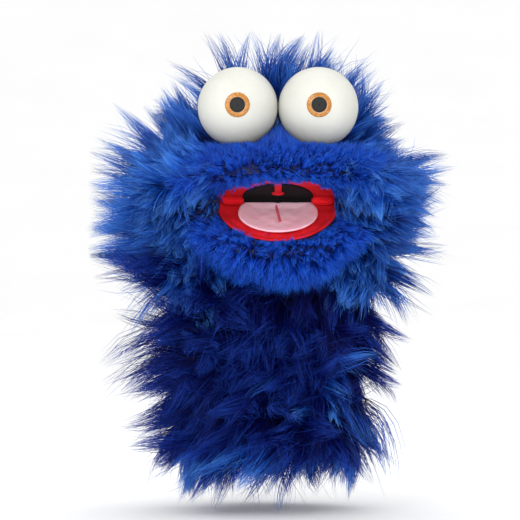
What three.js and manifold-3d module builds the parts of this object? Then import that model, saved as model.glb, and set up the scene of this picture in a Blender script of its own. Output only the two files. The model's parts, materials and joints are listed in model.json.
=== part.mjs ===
// A moving-mouth hand puppet: a furry head with ball eyes on a fur sleeve.
// Millimetres, +Z up, the face looks along -Y. The origin is the middle of the hand opening at the hem.

import * as THREE from "three";
import { mergeVertices } from "three/addons/utils/BufferGeometryUtils.js";
import Module from "manifold-3d";

const wasm = await Module();
wasm.setup();

// ---- driving dimensions ----
const GAP = 0.3; // between neighbours that touch on the real puppet
const FAR = 400; // longer than any piece, for cutting blocks
const OPEN_BACK = 10; // how far a lip's hollows run out behind the fold

const SLEEVE = { hem: 0, top: 58, hemRadius: 56, topRadius: 52, depthRatio: 0.82, cloth: 1.2 };
const BINDING = { height: 8, thickness: 1.5 };
const PILE = { fringe: -32, tip: 66, hem: 78, belly: 84, bellyHeight: 28, shoulder: 70, shoulderDrop: 8 };

const NECK = new THREE.Vector3(0, 0, 86); // the wrist: all three neck axes cross here
const NECK_CLOTH = 2.5;
const NECK_ROOM = 2; // kept free all round the neck
const NECK_LOWER = { radius: 54, low: -26, high: 0 };
const NECK_UPPER = { radius: 50, low: -16, high: 10 };
const THROAT = { radius: 46, low: -6, high: 22, front: -4 };

const HINGE = new THREE.Vector3(0, -22, 168); // the mouth's fold
const UPPER_RISE = 10.6; // degrees above level
const LOWER_DROP = 26; // degrees below level
const LIP = { halfWidth: 42, depth: 64, back: -1 };
const FELT = 1.2;
const THIN_FELT = 0.8;
const BOARD = 2.4;

const HEAD = { centre: new THREE.Vector3(0, -4, 176), radii: [60, 50, 56], bottom: 118, foam: 10 };
const HEAD_PILE = { centre: new THREE.Vector3(0, 2, 178), radii: [119, 78, 92] };
const HEAD_PILE_FRONT = -36; // the long pile starts behind the cheeks
const HEAD_PILE_RISE = 9; // degrees that its lower edge climbs away from the neck
const HEAD_PILE_LIFT = 7; // its lower edge over the middle of the neck
const CROWN_SEAM = 208; // height of the seam under the crown panel
const BACK_PANEL = { halfWidth: 48, front: 8 };
const FACE_BACK = 5; // how far behind the fold the mouth needs room
const JAW_ROOM = 2; // between the pile of the chin and the pile of the cheeks

const EYE = { x: 28.2, y: -46, z: 233, radius: 28 };
const EYE_MARK = { iris: 8.6, pupil: 5.2, thickness: 0.7 };
const POST = { aim: new THREE.Vector3(16, -8, 196), radius: 3, start: 12, end: 44 };
const WASHER = { radius: 8, thickness: 1.5, seat: 33.5, clear: 9 };

const MUZZLE = { centre: [0, -14, 2], radii: [70, 62, 27], under: 1, crest: -26, bridge: -14 };
const CHIN = { centre: [0, -12, -2], radii: [57, 62, 30], over: -1, backSlope: 0.8, back: -3 };
const SHORT_PILE = 6;
const FINGER_POCKET = { halfWidth: 39, depth: 52, height: 16 };
const THUMB_POCKET = { halfWidth: 20, depth: 48, height: 19 };
const TONGUE = { halfWidth: 28, depth: 51, widest: -20, back: -3 };
const STITCH = { from: -4, to: -33, halfWidth: 0.8 };
const THROAT_PATCH = { halfWidth: 25, depth: 52 };
const UVULA = { stemHalfWidth: 2.4, endRadius: 4.3, from: -50, to: -20 };
const TAPE = { radius: 9, thickness: 1, halfWidth: 40, start: -45, end: 60 }; // start and end in degrees

const COLOURS = {
  fur: 0x2148a0,
  shortFur: 0x244fa8,
  lining: 0x1b2f66,
  foam: 0xd9d4c4,
  board: 0x3a3a3c,
  red: 0xd8242f,
  black: 0x0d0b0d,
  pink: 0xe6b0bf,
  stitch: 0xc23a4c,
  eye: 0xf0f1e9,
  iris: 0xb07a2a,
  plastic: 0x26262a,
};

// ---- solids ----
function solidOf(geometry) {
  const bare = geometry.clone();
  bare.deleteAttribute("normal");
  bare.deleteAttribute("uv");
  const merged = mergeVertices(bare, 1e-4);
  return new wasm.Manifold(
    new wasm.Mesh({
      numProp: 3,
      vertProperties: new Float32Array(merged.attributes.position.array),
      triVerts: new Uint32Array(merged.index.array),
    }),
  );
}

function geometryOf(solid) {
  const mesh = solid.getMesh();
  const geometry = new THREE.BufferGeometry();
  geometry.setAttribute("position", new THREE.BufferAttribute(mesh.vertProperties, 3));
  geometry.setIndex(new THREE.BufferAttribute(mesh.triVerts, 1));
  geometry.computeVertexNormals();
  return geometry;
}

function ellipsoid(centre, radii, around = 24, tall = 14) {
  const ball = new THREE.SphereGeometry(1, around, tall);
  return ball.rotateX(Math.PI / 2).scale(...radii).translate(...centre);
}

function block(low, high) {
  const size = high.map((value, axis) => value - low[axis]);
  const middle = high.map((value, axis) => (value + low[axis]) / 2);
  return new THREE.BoxGeometry(...size).translate(...middle);
}

function rod(from, to, radius, sides = 20) {
  const span = new THREE.Vector3().subVectors(to, from);
  const turn = new THREE.Quaternion().setFromUnitVectors(new THREE.Vector3(0, 1, 0), span.clone().normalize());
  const middle = new THREE.Vector3().addVectors(from, to).multiplyScalar(0.5);
  const cylinder = new THREE.CylinderGeometry(radius, radius, span.length(), sides);
  return cylinder.applyQuaternion(turn).translate(middle.x, middle.y, middle.z);
}

// A ring about Z from a profile of [radius, height] pairs, outer wall first going up, flattened in Y.
function ring(profile, depthRatio = 1, around = 32) {
  const points = [...profile, profile[0]].map(([radius, height]) => new THREE.Vector2(radius, height));
  return new THREE.LatheGeometry(points, around).rotateX(Math.PI / 2).scale(1, depthRatio, 1);
}

// Half an ellipse, straight along y = back and round towards -Y. A hollow runs out behind it.
function halfEllipse(halfWidth, depth, back = LIP.back, runOut = 0) {
  const outline = new THREE.Shape();
  outline.moveTo(-halfWidth, back + runOut);
  outline.lineTo(-halfWidth, back);
  outline.absellipse(0, back, halfWidth, depth + back, Math.PI, 2 * Math.PI, false);
  outline.lineTo(halfWidth, back + runOut);
  outline.closePath();
  return outline;
}

function slab(outline, low, high, curveSegments = 16) {
  const shape = new THREE.ExtrudeGeometry(outline, { depth: high - low, bevelEnabled: false, curveSegments });
  return shape.translate(0, 0, low);
}

function cut(geometry, ...tools) {
  return geometryOf(tools.reduce((solid, tool) => solid.subtract(solidOf(tool)), solidOf(geometry)));
}

function keep(geometry, ...tools) {
  return geometryOf(tools.reduce((solid, tool) => solid.intersect(solidOf(tool)), solidOf(geometry)));
}

function join(first, second) {
  return geometryOf(solidOf(first).add(solidOf(second)));
}

function part(name, geometry, color, roughness = 0.9) {
  const material = new THREE.MeshStandardMaterial({ color, roughness, metalness: 0 });
  const mesh = new THREE.Mesh(geometry, material);
  mesh.name = name;
  return mesh;
}

// ---- sleeve: lining tube, two fur panels with side seams, binding inside the hem ----
const grow = (radii, by) => radii.map((radius) => radius + by);

function sleeveTube(outward, thickness, low, high) {
  const hem = SLEEVE.hemRadius + outward;
  const top = SLEEVE.topRadius + outward;
  const radiusAt = (z) => THREE.MathUtils.mapLinear(z, SLEEVE.hem, SLEEVE.top, hem, top);
  const profile = [
    [radiusAt(low), low],
    [radiusAt(high), high],
    [radiusAt(high) - thickness, high],
    [radiusAt(low) - thickness, low],
  ];
  return ring(profile, SLEEVE.depthRatio);
}

function sleevePile() {
  const inner = SLEEVE.hemRadius + GAP;
  const profile = [
    [inner, PILE.fringe],
    [PILE.tip, PILE.fringe],
    [PILE.hem, SLEEVE.hem],
    [PILE.belly, PILE.bellyHeight],
    [PILE.shoulder + PILE.shoulderDrop, SLEEVE.top - PILE.shoulderDrop],
    [PILE.shoulder, SLEEVE.top],
    [inner, SLEEVE.top],
  ];
  return ring(profile, SLEEVE.depthRatio);
}

function sleeveParts() {
  const pile = sleevePile();
  const frontHalf = block([-FAR, -FAR, -FAR], [FAR, -GAP / 2, FAR]);
  const backHalf = block([-FAR, GAP / 2, -FAR], [FAR, FAR, FAR]);
  const bindingBand = sleeveTube(-SLEEVE.cloth - GAP, BINDING.thickness, SLEEVE.hem, BINDING.height);
  return [
    part("sleeve_lining", sleeveTube(0, SLEEVE.cloth, SLEEVE.hem, SLEEVE.top), COLOURS.lining),
    part("sleeve_fur_front", keep(pile, frontHalf), COLOURS.fur),
    part("sleeve_fur_back", keep(pile, backHalf), COLOURS.fur),
    part("hem_binding", bindingBand, COLOURS.lining),
  ];
}

// ---- neck: three sections of one fabric tube, each a zone of a ball about the wrist ----
function neckZone({ radius, low, high }) {
  const arc = (r) => {
    const steps = 5;
    const heights = Array.from({ length: steps + 1 }, (_, i) => THREE.MathUtils.lerp(low, high, i / steps));
    return heights.map((z) => [Math.sqrt(r * r - z * z), z]);
  };
  const profile = [...arc(radius), ...arc(radius - NECK_CLOTH).reverse()];
  return ring(profile).translate(...NECK.toArray());
}

function neckParts() {
  const throatFront = block([-FAR, -FAR, -FAR], [FAR, THROAT.front, FAR]);
  return [
    part("neck_fabric_lower", neckZone(NECK_LOWER), COLOURS.lining),
    part("neck_fabric_upper", neckZone(NECK_UPPER), COLOURS.lining),
    part("throat_fabric", cut(neckZone(THROAT), throatFront), COLOURS.lining),
  ];
}

// ---- mouth: both lips are built flat in a frame on the fold, then tilted ----
function lipFrame(degrees) {
  const frame = new THREE.Group();
  frame.position.copy(HINGE);
  frame.rotation.x = THREE.MathUtils.degToRad(degrees);
  frame.updateMatrixWorld();
  return frame;
}

const upperFrame = lipFrame(-UPPER_RISE);
const lowerFrame = lipFrame(LOWER_DROP);

// Layers go outward from the fold plane: +1 stacks up for the upper lip, -1 down for the lower.
function stack(side, start) {
  let level = start;
  return (outline, thickness) => {
    const near = level + GAP;
    const far = near + thickness;
    level = far;
    return side > 0 ? slab(outline, near, far) : slab(outline, -far, -near);
  };
}

function pocket(size, near, side) {
  const outline = halfEllipse(size.halfWidth, size.depth);
  const inside = halfEllipse(size.halfWidth - FELT, size.depth - FELT, LIP.back, OPEN_BACK);
  const shell = slab(outline, near, near + size.height);
  const hollow = slab(inside, near + FELT, near + size.height - FELT);
  const made = cut(shell, hollow);
  return side > 0 ? made : made.applyMatrix4(new THREE.Matrix4().makeRotationY(Math.PI));
}

const lipOutline = halfEllipse(LIP.halfWidth, LIP.depth);
const boardTop = 4 * GAP + 2 * THIN_FELT + FELT + BOARD; // above the fold plane
const lipStackCutter = halfEllipse(LIP.halfWidth + GAP, LIP.depth + GAP, LIP.back, OPEN_BACK);

function lipPad(shape, side, grown) {
  const pad = ellipsoid(shape.centre, grow(shape.radii, grown));
  return side > 0
    ? cut(pad, block([-FAR, -FAR, -FAR], [FAR, FAR, shape.under]))
    : cut(pad, block([-FAR, -FAR, shape.over], [FAR, FAR, FAR]));
}

function muzzleParts() {
  const pocketTop = boardTop + GAP + FINGER_POCKET.height + GAP;
  const { halfWidth, depth } = FINGER_POCKET;
  const pocketOutline = halfEllipse(halfWidth + GAP, depth + GAP, LIP.back, OPEN_BACK);
  const handSpace = join(slab(lipStackCutter, -FAR, boardTop + GAP), slab(pocketOutline, 0, pocketTop));
  const backOfFace = block([-FAR, LIP.back, -FAR], [FAR, FAR, FAR]);
  const underEyes = block([-FAR, MUZZLE.crest, MUZZLE.radii[2] / 2], [FAR, FAR, FAR]);
  const whole = lipPad(MUZZLE, 1, 0);
  const skin = cut(lipPad(MUZZLE, 1, SHORT_PILE), ellipsoid(MUZZLE.centre, grow(MUZZLE.radii, GAP)));
  const eyes = eyeBalls(2 * GAP).map((ball) => ball.applyMatrix4(upperFrame.matrixWorld.clone().invert()));
  return [
    part("muzzle_pad", cut(whole, handSpace, backOfFace, underEyes, ...eyes), COLOURS.foam),
    part("muzzle_fur", cut(skin, handSpace, backOfFace, underEyes, ...eyes), COLOURS.shortFur),
  ];
}

// A straight stem that ends in a round bob.
function uvulaOutline() {
  const { stemHalfWidth, endRadius, from, to } = UVULA;
  const lean = Math.asin(stemHalfWidth / endRadius);
  const outline = new THREE.Shape();
  outline.moveTo(stemHalfWidth, from);
  outline.absarc(0, to, endRadius, lean - Math.PI / 2, 1.5 * Math.PI - lean, false);
  outline.lineTo(-stemHalfWidth, from);
  outline.closePath();
  return outline;
}

// An oval that is cut off straight at the fold.
function tongueOutline() {
  const { halfWidth, depth, widest, back } = TONGUE;
  const start = Math.asin((back - widest) / (depth + widest));
  const outline = new THREE.Shape();
  outline.absellipse(0, widest, halfWidth, depth + widest, Math.PI - start, 2 * Math.PI + start, false);
  outline.closePath();
  return outline;
}

function upperLipParts() {
  const layer = stack(1, GAP);
  const uvula = layer(uvulaOutline(), THIN_FELT);
  const patch = layer(halfEllipse(THROAT_PATCH.halfWidth, THROAT_PATCH.depth), THIN_FELT);
  const lining = layer(lipOutline, FELT);
  const board = layer(lipOutline, BOARD);
  const fingers = pocket(FINGER_POCKET, boardTop + GAP, 1);
  return [
    part("uvula", uvula, COLOURS.red),
    part("throat_patch", patch, COLOURS.black),
    part("upper_mouth_lining", lining, COLOURS.red),
    part("upper_mouth_board", board, COLOURS.board, 0.7),
    part("finger_pocket", fingers, COLOURS.lining),
    ...muzzleParts(),
  ];
}

function chinParts() {
  const handSpace = slab(lipStackCutter, -boardTop - GAP, FAR);
  const { halfWidth, depth } = THUMB_POCKET;
  const pocketBottom = boardTop + THUMB_POCKET.height + 2 * GAP;
  const thumbOutline = halfEllipse(halfWidth + GAP, depth + GAP, LIP.back, OPEN_BACK);
  const thumbSpace = slab(thumbOutline, -pocketBottom, 0);
  const slope = Math.atan(1 / CHIN.backSlope);
  const backOfChin = block([-FAR, 0, -FAR], [FAR, FAR, FAR]).rotateX(slope - Math.PI / 2);
  backOfChin.translate(0, CHIN.back, 0);
  const whole = lipPad(CHIN, -1, 0);
  const skin = cut(lipPad(CHIN, -1, SHORT_PILE), ellipsoid(CHIN.centre, grow(CHIN.radii, GAP)));
  return [
    part("chin_pad", cut(whole, handSpace, thumbSpace, backOfChin), COLOURS.foam),
    part("chin_fur", cut(skin, handSpace, backOfChin), COLOURS.shortFur),
  ];
}

function lowerLipParts() {
  const layer = stack(-1, GAP);
  const seam = new THREE.Shape();
  seam.moveTo(-STITCH.halfWidth, STITCH.from);
  seam.absarc(0, STITCH.to, STITCH.halfWidth, Math.PI, 2 * Math.PI, false);
  seam.lineTo(STITCH.halfWidth, STITCH.from);
  seam.closePath();
  const line = layer(seam, THIN_FELT);
  const tongue = layer(tongueOutline(), THIN_FELT);
  const lining = layer(lipOutline, FELT);
  const board = layer(lipOutline, BOARD);
  const thumb = pocket(THUMB_POCKET, boardTop + GAP, -1);
  return [
    part("tongue_stitch", line, COLOURS.stitch),
    part("tongue", tongue, COLOURS.pink),
    part("lower_mouth_lining", lining, COLOURS.red),
    part("lower_mouth_board", board, COLOURS.board, 0.7),
    part("thumb_pocket", thumb, COLOURS.lining),
    ...chinParts(),
  ];
}

// A strip of tape that bridges both boards behind the fold.
function hingeTape() {
  const start = THREE.MathUtils.degToRad(TAPE.start);
  const end = THREE.MathUtils.degToRad(TAPE.end);
  const outline = new THREE.Shape();
  outline.absarc(0, 0, TAPE.radius, start, end, false);
  outline.absarc(0, 0, TAPE.radius - TAPE.thickness, end, start, true);
  outline.closePath();
  const strip = slab(outline, -TAPE.halfWidth, TAPE.halfWidth, 8);
  strip.applyMatrix4(new THREE.Matrix4().set(0, 0, 1, 0, 1, 0, 0, 0, 0, 1, 0, 0, 0, 0, 0, 1));
  return part("mouth_hinge_tape", strip.translate(...HINGE.toArray()), COLOURS.black, 0.6);
}

// ---- eyes ----
function eyeCentre(side) {
  return new THREE.Vector3(side * EYE.x, EYE.y, EYE.z);
}

function eyeBalls(grown) {
  return [-1, 1].map((side) => ellipsoid(eyeCentre(side).toArray(), Array(3).fill(EYE.radius + grown)));
}

function alongPost(side, distance) {
  const aim = POST.aim.clone().multiply(new THREE.Vector3(side, 1, 1));
  const direction = aim.sub(eyeCentre(side)).normalize();
  return eyeCentre(side).addScaledVector(direction, distance);
}

function postRod(side, from, to, radius) {
  return rod(alongPost(side, from), alongPost(side, to), radius, 16);
}

function eyeDisc(side, radius, hole) {
  const centre = eyeCentre(side).toArray();
  const near = EYE.radius + GAP;
  const sphere = (radius) => ellipsoid(centre, Array(3).fill(radius), 48, 30);
  const cap = cut(sphere(near + EYE_MARK.thickness), sphere(near));
  const front = eyeCentre(side).add(new THREE.Vector3(0, -2 * EYE.radius, 0));
  const disc = keep(cap, rod(eyeCentre(side), front, radius));
  return hole ? cut(disc, rod(eyeCentre(side), front, hole)) : disc;
}

function eyeParts(side, word) {
  const ball = ellipsoid(eyeCentre(side).toArray(), Array(3).fill(EYE.radius));
  const washer = postRod(side, WASHER.seat + GAP, WASHER.seat + GAP + WASHER.thickness, WASHER.radius);
  const bore = postRod(side, 0, FAR / 4, POST.radius + GAP);
  return [
    part(`eye_ball_${word}`, cut(ball, postRod(side, POST.start - GAP, FAR / 4, POST.radius + GAP)), COLOURS.eye, 0.55),
    part(`iris_${word}`, eyeDisc(side, EYE_MARK.iris, EYE_MARK.pupil + GAP), COLOURS.iris, 0.4),
    part(`pupil_${word}`, eyeDisc(side, EYE_MARK.pupil), COLOURS.black, 0.4),
    part(`eye_post_${word}`, postRod(side, POST.start, POST.end, POST.radius), COLOURS.plastic, 0.5),
    part(`eye_lock_washer_${word}`, cut(washer, bore), COLOURS.plastic, 0.5),
  ];
}

// ---- head: foam shell, open underneath and over the mouth, with long pile panels round it ----
function dome(grown, bottom) {
  const [wide, deep, tall] = grow(HEAD.radii, grown);
  const cap = ellipsoid(HEAD.centre.toArray(), [wide, deep, tall]);
  const wall = new THREE.CylinderGeometry(1, 1, HEAD.centre.z - bottom, 24).rotateX(Math.PI / 2);
  wall.scale(wide, deep, 1).translate(HEAD.centre.x, HEAD.centre.y, (HEAD.centre.z + bottom) / 2);
  return join(cap, wall);
}

// The room that the mouth needs: everything under the crown and in front of the fold, out to halfWidth.
function faceSpace(halfWidth) {
  return block([-halfWidth, -FAR, -FAR], [halfWidth, HINGE.y + FACE_BACK, CROWN_SEAM]);
}

function headFoam() {
  const hollow = dome(-HEAD.foam, HEAD.bottom - HEAD.foam);
  const sockets = eyeBalls(GAP);
  const bores = [-1, 1].map((side) => postRod(side, 0, POST.end, POST.radius + GAP));
  const seats = [-1, 1].map((side) => postRod(side, WASHER.seat, POST.end, WASHER.clear));
  const muzzle = ellipsoid(MUZZLE.centre, grow(MUZZLE.radii, SHORT_PILE + GAP)).applyMatrix4(upperFrame.matrixWorld);
  const bridge = keep(muzzle, block([-FAR, -FAR, 0], [FAR, HINGE.y + MUZZLE.bridge, FAR]));
  const foam = cut(dome(0, HEAD.bottom), hollow, bridge, faceSpace(FAR), ...sockets, ...bores, ...seats);
  return part("head_foam", foam, COLOURS.foam);
}

function neckClearance() {
  const reach = FAR / 2;
  const rise = Math.tan(THREE.MathUtils.degToRad(HEAD_PILE_RISE)) * reach;
  const points = [
    [0, -FAR],
    [reach, -FAR],
    [reach, HEAD_PILE_LIFT + rise],
    [0, HEAD_PILE_LIFT],
  ].map(([radius, height]) => new THREE.Vector2(radius, height));
  return new THREE.LatheGeometry(points, 40).rotateX(Math.PI / 2).translate(...NECK.toArray());
}

function headFur() {
  const muzzle = ellipsoid(MUZZLE.centre, grow(MUZZLE.radii, SHORT_PILE + GAP)).applyMatrix4(upperFrame.matrixWorld);
  const neckBall = ellipsoid(NECK.toArray(), Array(3).fill(NECK_LOWER.radius + NECK_ROOM));
  const pile = cut(
    ellipsoid(HEAD_PILE.centre.toArray(), HEAD_PILE.radii),
    dome(GAP, 0),
    neckBall,
    neckClearance(),
    muzzle,
    faceSpace(CHIN.radii[0] + SHORT_PILE + JAW_ROOM),
    block([-FAR, -FAR, -FAR], [FAR, HEAD_PILE_FRONT, FAR]),
    ...eyeBalls(2 * GAP),
  );
  const overCrown = block([-FAR, -FAR, CROWN_SEAM], [FAR, FAR, FAR]);
  const crownRoom = block([-FAR, -FAR, CROWN_SEAM - GAP], [FAR, FAR, FAR]);
  const backPanel = (gap) => {
    const edge = BACK_PANEL.halfWidth + gap;
    return block([-edge, BACK_PANEL.front - gap, -FAR], [edge, FAR, FAR]);
  };
  const sidePanel = (low, high) => {
    const half = block([low, -FAR, -FAR], [high, FAR, FAR]);
    return cut(keep(pile, half), crownRoom, backPanel(GAP));
  };
  return [
    part("head_fur_crown", keep(pile, overCrown), COLOURS.fur),
    part("head_fur_left", sidePanel(-FAR, 0), COLOURS.fur),
    part("head_fur_right", sidePanel(0, FAR), COLOURS.fur),
    part("head_fur_back", cut(keep(pile, backPanel(0)), crownRoom), COLOURS.fur),
  ];
}

// ---- the puppet ----
const puppet = new THREE.Group();
upperFrame.add(...upperLipParts());
lowerFrame.add(...lowerLipParts());
puppet.add(...sleeveParts(), ...neckParts(), upperFrame, lowerFrame, hingeTape());
puppet.add(...eyeParts(-1, "left"), ...eyeParts(1, "right"), headFoam(), ...headFur());

export default puppet;
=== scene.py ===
"""Looks of the moving mouth puppet: fur of fine tapered strands, felt mouth, ball eyes, cloth linings."""

import json
import math

import bmesh
import bpy
import numpy as np
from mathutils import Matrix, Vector, kdtree


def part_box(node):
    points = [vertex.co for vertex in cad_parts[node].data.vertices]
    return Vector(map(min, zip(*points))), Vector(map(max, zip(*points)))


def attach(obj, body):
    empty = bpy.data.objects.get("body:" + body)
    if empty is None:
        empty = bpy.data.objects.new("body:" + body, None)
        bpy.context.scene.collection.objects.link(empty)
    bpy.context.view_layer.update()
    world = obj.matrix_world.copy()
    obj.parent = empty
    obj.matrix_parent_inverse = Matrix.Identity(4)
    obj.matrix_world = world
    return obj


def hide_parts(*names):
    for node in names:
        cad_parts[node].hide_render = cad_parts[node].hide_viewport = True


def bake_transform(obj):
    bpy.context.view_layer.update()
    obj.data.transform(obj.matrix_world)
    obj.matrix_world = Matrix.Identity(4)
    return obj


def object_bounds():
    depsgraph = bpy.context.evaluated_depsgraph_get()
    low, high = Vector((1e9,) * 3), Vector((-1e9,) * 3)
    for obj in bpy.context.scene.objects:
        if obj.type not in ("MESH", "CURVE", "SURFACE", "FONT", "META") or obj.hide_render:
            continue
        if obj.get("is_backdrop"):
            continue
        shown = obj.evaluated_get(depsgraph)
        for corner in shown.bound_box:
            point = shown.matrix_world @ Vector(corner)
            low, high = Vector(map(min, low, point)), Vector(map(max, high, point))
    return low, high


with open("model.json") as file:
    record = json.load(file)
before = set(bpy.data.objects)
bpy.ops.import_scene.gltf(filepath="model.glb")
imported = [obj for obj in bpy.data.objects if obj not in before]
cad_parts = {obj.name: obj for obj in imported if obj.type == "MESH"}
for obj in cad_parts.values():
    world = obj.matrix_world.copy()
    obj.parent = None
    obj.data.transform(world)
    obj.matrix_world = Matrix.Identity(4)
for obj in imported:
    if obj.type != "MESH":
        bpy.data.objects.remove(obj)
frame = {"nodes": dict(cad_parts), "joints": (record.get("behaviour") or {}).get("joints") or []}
CAD_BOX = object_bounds()
SCENE = bpy.context.scene
MM = 0.001


def add_object(name, data):
    thing = bpy.data.objects.new(name, data)
    SCENE.collection.objects.link(thing)
    return thing


# ---- camera ----
LENS = 173.5
CAMERA_AT = (-0.0126, -1.8, 0.126)
camera_data = bpy.data.cameras.new("camera")
camera_data.sensor_width = 36
camera_data.lens = LENS
camera = add_object("camera", camera_data)
camera.location = CAMERA_AT
camera.rotation_euler = (math.radians(90), 0, 0)
SCENE.camera = camera

# ---- places from the frame, in millimetres ----
JOINTS = {joint["name"]: joint for joint in frame["joints"]}
HINGE = np.array(JOINTS["jaw_open"]["pos_m"]) * 1000  # the fold of the mouth
UPPER_RISE = math.radians(-10.6)  # turns of the two lips about the fold, at rest
LOWER_DROP = math.radians(26)


def box_mm(node):
    low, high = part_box(node)
    return np.array(low) * 1000, np.array(high) * 1000


def ball_of(node):
    low, high = box_mm(node)
    return (low + high) / 2, (high[0] - low[0]) / 2


EYES = {word: ball_of(f"eye_ball_{word}") for word in ("left", "right")}
HEAD_CENTRE = np.array([0, -4, 176.0])  # the dome of the foam
HEAD_RADII = np.array([60.4, 50.4, 56.4])
HEAD_BOTTOM = 118
CROWN = 207  # the seam between the crown's fur and the sides' fur
FACE_BACK = HINGE[1] + 5  # the opening for the mouth and the eye posts
FACE_TOP = 206
LIP_HALF = box_mm("upper_mouth_lining")[1][0]
LIP_DEPTH = 64
LIP_BACK = -1
FELT_RIM = 1.6  # how far the felts reach past the linings
PATCH_HALF, PATCH_DEPTH = 25, 46
TONGUE_HALF = box_mm("tongue")[1][0]
TONGUE_FRONT, TONGUE_MIDDLE, TONGUE_BACK = 51, -20, -3
PROUD_SHARE, PROUD = 0.03, 9  # how far tips may stand past the CAD box: a share of its side, and millimetres


def lip_to_world(points, angle):
    x, y, z = points[..., 0], points[..., 1], points[..., 2]
    c, s = math.cos(angle), math.sin(angle)
    return np.stack([x + HINGE[0], y * c - z * s + HINGE[1], y * s + z * c + HINGE[2]], -1)


# ---- materials ----
class Nodes:
    """A small helper over a node tree."""

    def __init__(self, name):
        self.material = bpy.data.materials.new(name)
        self.material.use_nodes = True
        self.tree = self.material.node_tree
        self.shader = self.tree.nodes["Principled BSDF"]

    def add(self, kind, inputs=None, **settings):
        node = self.tree.nodes.new(kind)
        for key, value in settings.items():
            setattr(node, key, value)
        for key, value in (inputs or {}).items():
            if isinstance(value, bpy.types.NodeSocket):
                self.tree.links.new(value, node.inputs[key])
            else:
                node.inputs[key].default_value = value
        return node

    def set(self, key, value):
        if isinstance(value, bpy.types.NodeSocket):
            self.tree.links.new(value, self.shader.inputs[key])
        else:
            self.shader.inputs[key].default_value = value

    def place(self):
        return self.add("ShaderNodeTexCoord").outputs["Object"]

    def ramp(self, fac, stops):
        node = self.add("ShaderNodeValToRGB", {"Fac": fac})
        ramp = node.color_ramp
        while len(ramp.elements) < len(stops):
            ramp.elements.new(0.5)
        for element, (position, colour) in zip(ramp.elements, stops):
            element.position = position
            element.color = (*colour, 1)
        return node.outputs["Color"]

    def noise(self, scale, detail=4, rough=0.6, vector=None):
        vector = vector or self.place()
        inputs = {"Vector": vector, "Scale": scale, "Detail": detail, "Roughness": rough}
        return self.add("ShaderNodeTexNoise", inputs).outputs["Fac"]

    def bump(self, height, strength, distance):
        inputs = {"Height": height, "Strength": strength, "Distance": distance}
        self.set("Normal", self.add("ShaderNodeBump", inputs).outputs["Normal"])


def linear(*srgb):
    """Linear colour from sRGB bytes."""
    return tuple(v / 12.92 if v <= 0.04045 else ((v + 0.055) / 1.055) ** 2.4 for v in (b / 255 for b in srgb))


def fur_material(name, root, middle, tip, rough=0.42, specular=0.22):
    """Colour runs from root to tip along V, dark at the root as painted shade deep in the pile and lighter
    towards the tip, and each strand's U picks its own tone.
    """
    m = Nodes(name)
    uv = m.add("ShaderNodeUVMap", uv_map="OFBake").outputs["UV"]
    split = m.add("ShaderNodeSeparateXYZ", {"Vector": uv})
    root_shade_along = m.ramp(split.outputs["Y"], [(0, root), (0.25, root), (0.62, middle), (1, tip)])
    tones = [(0, (0.2, 0.25, 0.35)), (0.5, (0.9, 0.92, 0.95)), (1, (1.8, 1.65, 1.35))]
    tone = m.ramp(split.outputs["X"], tones)
    mix = m.add("ShaderNodeMix", data_type="RGBA", blend_type="MULTIPLY", clamp_result=False)
    mix.inputs["Factor"].default_value = 1
    m.tree.links.new(root_shade_along, mix.inputs["A"])
    m.tree.links.new(tone, mix.inputs["B"])
    m.set("Base Color", mix.outputs["Result"])
    m.set("Roughness", rough)
    m.set("Specular IOR Level", specular)
    return m.material


def cloth_material(name, dark, light, weave=900, rough=0.85):
    m = Nodes(name)
    position = m.place()
    broad = m.noise(40, vector=position)
    m.set("Base Color", m.ramp(broad, [(0.3, dark), (0.7, light)]))
    threads = {"Vector": position, "Scale": weave, "Distortion": 1.5}
    waves = [m.add("ShaderNodeTexWave", threads, bands_direction=axis) for axis in ("X", "Z")]
    both = m.add("ShaderNodeMath", operation="MAXIMUM")
    for slot, wave in enumerate(waves):
        m.tree.links.new(wave.outputs["Fac"], both.inputs[slot])
    m.bump(both.outputs["Value"], 0.35, 0.0004)
    m.set("Roughness", rough)
    m.set("Sheen Weight", 0.15)
    return m.material


def felt_material(name, dark, light, rough=0.95):
    m = Nodes(name)
    position = m.place()
    fibres = m.noise(1400, 6, 0.75, position)
    blotch = m.noise(90, 3, 0.5, position)
    both = m.add("ShaderNodeMath", {0: fibres, 1: blotch}, operation="ADD")
    half = m.add("ShaderNodeMath", {0: both.outputs["Value"], 1: 0.5}, operation="MULTIPLY")
    m.set("Base Color", m.ramp(half.outputs["Value"], [(0.38, dark), (0.62, light)]))
    m.bump(fibres, 0.5, 0.0005)
    m.set("Roughness", rough)
    m.set("Specular IOR Level", 0.2)
    return m.material


def foam_material(name, dark, light):
    m = Nodes(name)
    position = m.place()
    cells = m.add("ShaderNodeTexVoronoi", {"Vector": position, "Scale": 700}).outputs["Distance"]
    m.set("Base Color", m.ramp(cells, [(0.1, dark), (0.6, light)]))
    m.bump(cells, 0.6, 0.0008)
    m.set("Roughness", 0.9)
    return m.material


def plastic_material(name, dark, light, scale=60, rough=0.45, relief=0.05):
    m = Nodes(name)
    position = m.place()
    mottle = m.noise(scale, 5, 0.6, position)
    m.set("Base Color", m.ramp(mottle, [(0.3, dark), (0.7, light)]))
    m.bump(m.noise(scale * 20, 3, 0.5, position), relief, 0.0002)
    m.set("Roughness", rough)
    return m.material


# The backing's dark end is painted shade deep among the fur roots.
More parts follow.
